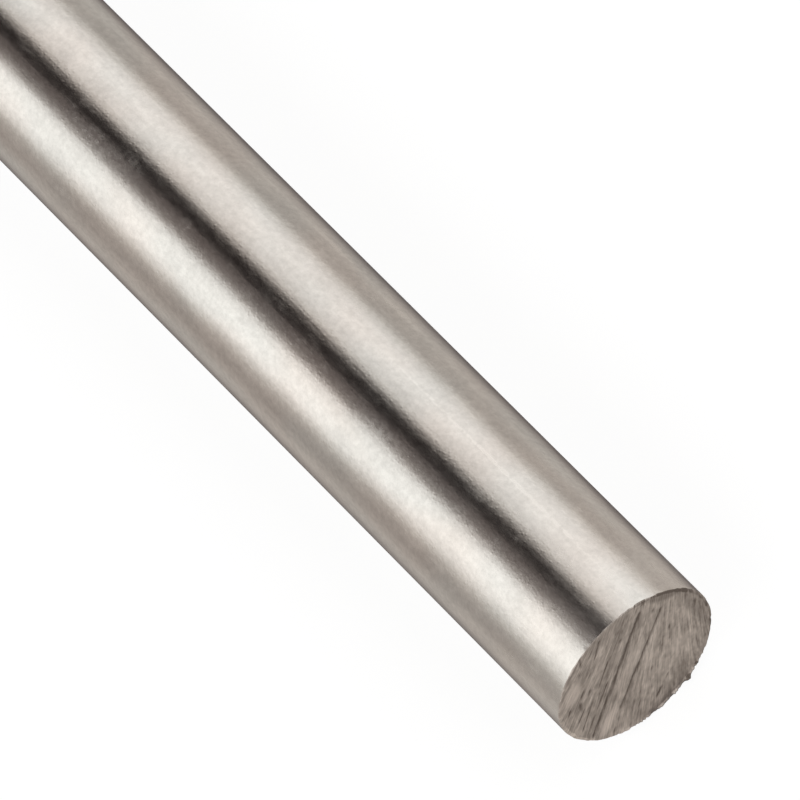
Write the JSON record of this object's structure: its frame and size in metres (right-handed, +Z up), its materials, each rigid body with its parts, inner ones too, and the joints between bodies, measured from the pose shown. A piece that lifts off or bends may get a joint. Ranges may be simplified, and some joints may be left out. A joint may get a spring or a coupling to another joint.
{
  "type": "round metal bar",
  "caption": "Solid round bar of bright metal stock, a straight cut length with two sawn ends, for turning, clamping or use as a shaft or rod.",
  "frame": {"origin": "on the surface that the bar lies on, below the middle of its length", "axes": "+X along the bar's axis towards the sawn end that the mount sawn_face names, +Z up"},
  "size_m": [0.3048, 0.0126, 0.0127],
  "materials": {
    "bar_metal": "bright mill finish, satin, with dull sawn ends"
  },
  "bodies": {
    "root": {"round_bar": "bar_metal"}
  },
  "joints": []
}
